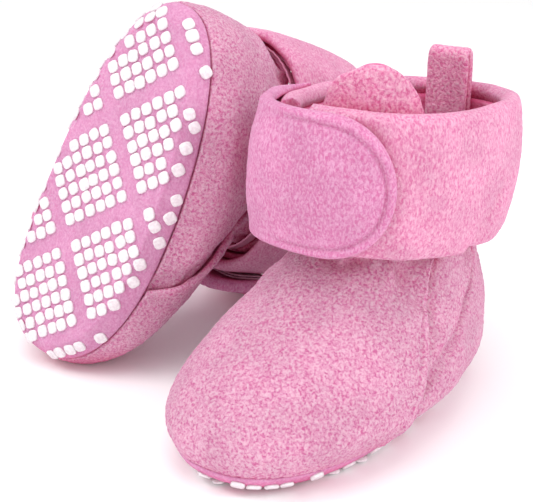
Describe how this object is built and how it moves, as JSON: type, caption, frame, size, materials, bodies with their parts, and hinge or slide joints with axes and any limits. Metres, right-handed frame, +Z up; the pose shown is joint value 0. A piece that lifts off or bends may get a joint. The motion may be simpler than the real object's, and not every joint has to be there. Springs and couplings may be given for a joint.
{
  "type": "baby bootie",
  "caption": "Pair of soft padded fleece baby booties, each with a wrap cuff closed by a round hook-and-loop tab, a tongue, a heel pull tab and grip print under the sole.",
  "frame": {"origin": "on the floor under the left bootie, on the underside of its grip print, at the middle of the foot's length", "axes": "+Z up, -Y towards the toe of the standing left bootie, +X towards its outer side"},
  "size_m": [0.1454, 0.147, 0.1098],
  "materials": {
    "closure": "hook and loop",
    "cuff_fleece": "napped fleece",
    "elastic": "woven elastic",
    "foam": "matt foam",
    "grip_print": "satin silicone print",
    "lining_fleece": "soft fleece",
    "sole_fleece": "napped fleece",
    "strap_fleece": "napped fleece",
    "tongue_fleece": "pebbled fleece",
    "upper_fleece": "pebbled fleece"
  },
  "bodies": {
    "left_bootie": {"left_ankle_elastic": "elastic", "left_cuff_band": "cuff_fleece", "left_cuff_lining": "lining_fleece", "left_grip_patch_1": "grip_print", "left_grip_patch_2": "grip_print", "left_grip_patch_3": "grip_print", "left_grip_patch_4": "grip_print", "left_grip_patch_5": "grip_print", "left_insole": "lining_fleece", "left_loop_patch": "closure", "left_midsole": "foam", "left_outsole": "sole_fleece", "left_quarter": "upper_fleece", "left_quarter_lining": "lining_fleece", "left_vamp": "upper_fleece", "left_vamp_lining": "lining_fleece"},
    "left_strap_body": {"left_strap": "strap_fleece", "left_strap_facing": "strap_fleece", "left_hook_patch": "closure"},
    "left_tongue_body": {"left_tongue_face": "tongue_fleece", "left_tongue_lining": "lining_fleece"},
    "left_pull_tab_body": {"left_pull_tab": "tongue_fleece"},
    "right_bootie": {"right_ankle_elastic": "elastic", "right_cuff_band": "cuff_fleece", "right_cuff_lining": "lining_fleece", "right_grip_patch_1": "grip_print", "right_grip_patch_2": "grip_print", "right_grip_patch_3": "grip_print", "right_grip_patch_4": "grip_print", "right_grip_patch_5": "grip_print", "right_insole": "lining_fleece", "right_loop_patch": "closure", "right_midsole": "foam", "right_outsole": "sole_fleece", "right_quarter": "upper_fleece", "right_quarter_lining": "lining_fleece", "right_vamp": "upper_fleece", "right_vamp_lining": "lining_fleece"},
    "right_strap_body": {"right_strap": "strap_fleece", "right_strap_facing": "strap_fleece", "right_hook_patch": "closure"},
    "right_tongue_body": {"right_tongue_face": "tongue_fleece", "right_tongue_lining": "lining_fleece"},
    "right_pull_tab_body": {"right_pull_tab": "tongue_fleece"}
  },
  "joints": [
    {"name": "left_strap_hinge", "type": "hinge", "parent": "left_bootie", "child": "left_strap_body", "pos_m": [-0.02374, -0.0054, 0.07288], "axis": [0, 0, -1], "range_deg": [0, 90]},
    {"name": "left_tongue_hinge", "type": "hinge", "parent": "left_bootie", "child": "left_tongue_body", "pos_m": [0.0063, -0.00168, 0.06091], "axis": [-0.8758, -0.4827, 0], "range_deg": [0, 20]},
    {"name": "left_pull_tab_hinge", "type": "hinge", "parent": "left_bootie", "child": "left_pull_tab_body", "pos_m": [0.00394, 0.0516, 0.07], "axis": [1, 0, 0], "range_deg": [0, 60]},
    {"name": "right_bootie_lift", "type": "slide", "parent": "left_bootie", "child": "right_bootie", "axis": [-0.5, 0, 0.866], "range_m": [0, 0.12]},
    {"name": "right_strap_hinge", "type": "hinge", "parent": "right_bootie", "child": "right_strap_body", "pos_m": [-0.09755, 0.04927, 0.03554], "axis": [0.0017, 0.9461, -0.3238], "range_deg": [0, 90]},
    {"name": "right_tongue_hinge", "type": "hinge", "parent": "right_bootie", "child": "right_tongue_body", "pos_m": [-0.06759, 0.03657, 0.03556], "axis": [0.9702, 0.0768, 0.2297], "range_deg": [0, 20]},
    {"name": "right_pull_tab_hinge", "type": "hinge", "parent": "right_bootie", "child": "right_pull_tab_body", "pos_m": [-0.0562, 0.06202, 0.08192], "axis": [-0.9666, 0.0846, 0.2419], "range_deg": [0, 60]}
  ]
}
